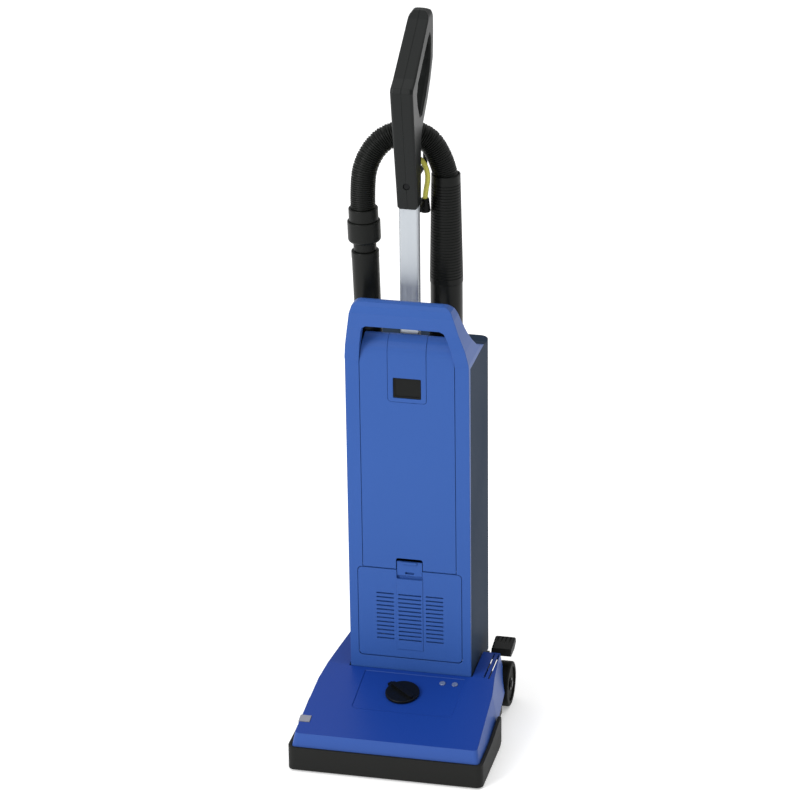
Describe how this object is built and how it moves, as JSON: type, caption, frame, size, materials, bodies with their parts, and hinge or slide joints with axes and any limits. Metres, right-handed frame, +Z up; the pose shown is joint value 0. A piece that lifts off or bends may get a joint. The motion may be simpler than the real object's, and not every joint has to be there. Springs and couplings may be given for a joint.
{
  "type": "upright vacuum cleaner",
  "caption": "Upright vacuum cleaner with a reclining body on a wheeled brush head, bag door, filter door, stowed hose and wand, loop handle and wound mains lead.",
  "frame": {"origin": "on the floor under the middle of the machine's outer box", "axes": "+Z up, -Y to the front, +X to the right as seen from the front"},
  "size_m": [0.312, 0.37, 1.165],
  "materials": {
    "black_bumper": "satin moulded bumper",
    "blue_plastic": "semi-gloss moulded blue",
    "black_plastic": "satin moulded black",
    "hose_plastic": "satin flexible black",
    "steel": "turned steel",
    "mast_metal": "satin anodised",
    "grey_plastic": "light grey",
    "lens_plastic": "clear lens",
    "wheel_rubber": "worn satin black",
    "brush_wood": "dark roller",
    "bristle": "nylon bristle",
    "cord_yellow": "yellow cable sheath",
    "plug_black": "moulded plug",
    "paper_bag": "filter paper",
    "card": "bag collar board"
  },
  "bodies": {
    "floor_head": {"bumper": "black_bumper", "hood": "blue_plastic", "chassis": "black_plastic", "glide_pads": "black_bumper", "axle": "steel", "pivot_shaft": "steel", "suction_duct": "black_plastic", "brush_bearings": "steel", "brush_motor": "steel", "drive_belt": "wheel_rubber", "indicator_lenses": "lens_plastic", "pedal_bracket": "black_plastic", "head_screws": "steel"},
    "upright": {"rear_shell": "blue_plastic", "front_frame": "blue_plastic", "pivot_lugs": "black_plastic", "hinge_pins": "steel", "wand": "hose_plastic", "wand_socket": "black_plastic", "port_collar": "black_plastic", "hose_sleeve": "hose_plastic", "hose_cuff": "hose_plastic", "hose": "hose_plastic", "cuff_collar": "hose_plastic", "mast_tube": "mast_metal", "mast_socket": "black_plastic", "handle_left": "black_plastic", "handle_right": "black_plastic", "handle_bolt": "black_plastic", "cord_gland": "black_plastic", "handle_hook": "black_plastic", "cord_lead": "cord_yellow", "cord_hank": "cord_yellow", "cord_plug": "plug_black", "cord_hook_bottom": "black_plastic", "filter_bag": "paper_bag", "bag_collar": "card", "fan_housing": "black_plastic", "suction_motor": "steel", "exhaust_filter": "paper_bag", "bag_shelf": "black_plastic"},
    "wheel_l": {"wheel_left": "wheel_rubber", "hub_cap_left": "black_plastic"},
    "wheel_r": {"wheel_right": "wheel_rubber", "hub_cap_right": "black_plastic"},
    "brush": {"brush_core": "brush_wood", "brush_bristles": "bristle"},
    "motor_shaft": {"motor_pulley": "black_plastic"},
    "dial": {"height_dial": "black_plastic"},
    "release": {"brush_release": "grey_plastic"},
    "pedal": {"foot_pedal": "black_plastic"},
    "bag_door": {"bag_door": "blue_plastic", "latch_strip": "blue_plastic"},
    "door_key": {"latch_key": "black_plastic"},
    "filter_door": {"exhaust_door": "blue_plastic"},
    "filter_latch": {"exhaust_latch": "blue_plastic"},
    "switch": {"power_switch": "black_plastic"},
    "top_hook": {"cord_hook_top": "black_plastic"},
    "fan_rotor": {"fan": "black_plastic"},
    "cuff": {"swivel_cuff": "hose_plastic"}
  },
  "joints": [
    {"name": "recline", "type": "hinge", "parent": "floor_head", "child": "upright", "pos_m": [0, 0.1045, 0.062], "axis": [-1, 0, 0], "range_deg": [0, 70]},
    {"name": "wheel_left_spin", "type": "hinge", "parent": "floor_head", "child": "wheel_l", "pos_m": [-0.13, 0.1045, 0.0368], "axis": [-1, 0, 0], "continuous": true},
    {"name": "wheel_right_spin", "type": "hinge", "parent": "floor_head", "child": "wheel_r", "pos_m": [0.13, 0.1045, 0.0368], "axis": [-1, 0, 0], "continuous": true},
    {"name": "brush_spin", "type": "hinge", "parent": "floor_head", "child": "brush", "pos_m": [0, -0.132, 0.027], "axis": [1, 0, 0], "continuous": true},
    {"name": "motor_spin", "type": "hinge", "parent": "floor_head", "child": "motor_shaft", "pos_m": [0.1, -0.052, 0.038], "axis": [1, 0, 0], "continuous": true},
    {"name": "height_dial_turn", "type": "hinge", "parent": "floor_head", "child": "dial", "pos_m": [0, -0.054, 0.08539], "axis": [0, -0.182, 0.9833], "range_deg": [-240, 0]},
    {"name": "brush_release_press", "type": "slide", "parent": "floor_head", "child": "release", "axis": [0, 0, -1], "range_m": [0, 0.0025], "stiffness_N_per_m": 600, "springref_m": -0.001},
    {"name": "pedal_press", "type": "hinge", "parent": "floor_head", "child": "pedal", "pos_m": [0.118, 0.097, 0.088], "axis": [-1, 0, 0], "range_deg": [0, 12], "stiffness_Nm_per_rad": 1.2, "springref_deg": -2.86},
    {"name": "bag_door_open", "type": "hinge", "parent": "upright", "child": "bag_door", "pos_m": [0, 0.0059, 0.2784], "axis": [1, 0, 0], "range_deg": [0, 80]},
    {"name": "door_key_press", "type": "slide", "parent": "bag_door", "child": "door_key", "axis": [0, 1, 0], "range_m": [0, 0.0025], "stiffness_N_per_m": 500, "springref_m": -0.001},
    {"name": "filter_door_open", "type": "hinge", "parent": "upright", "child": "filter_door", "pos_m": [0, 0.0076, 0.1222], "axis": [1, 0, 0], "range_deg": [0, 65]},
    {"name": "filter_latch_press", "type": "slide", "parent": "filter_door", "child": "filter_latch", "axis": [0, 0, -1], "range_m": [0, 0.003], "stiffness_N_per_m": 400, "springref_m": -0.001},
    {"name": "power_switch_rock", "type": "hinge", "parent": "upright", "child": "switch", "pos_m": [0, 0.041, 0.895], "axis": [1, 0, 0], "range_deg": [-6, 6]},
    {"name": "top_hook_turn", "type": "hinge", "parent": "upright", "child": "top_hook", "pos_m": [0, 0.17, 0.545], "axis": [0, 1, 0], "range_deg": [0, 180]},
    {"name": "fan_spin", "type": "hinge", "parent": "upright", "child": "fan_rotor", "pos_m": [0, 0.084, 0.15], "axis": [0, 0, 1], "continuous": true},
    {"name": "cuff_swivel", "type": "hinge", "parent": "upright", "child": "cuff", "pos_m": [-0.07418, 0.04, 0.828], "axis": [-0.0315, 0, 0.9995], "continuous": true}
  ],
  "couplings": [
    {"joint": "motor_spin", "follows": "brush_spin", "ratio": 1.9708}
  ]
}
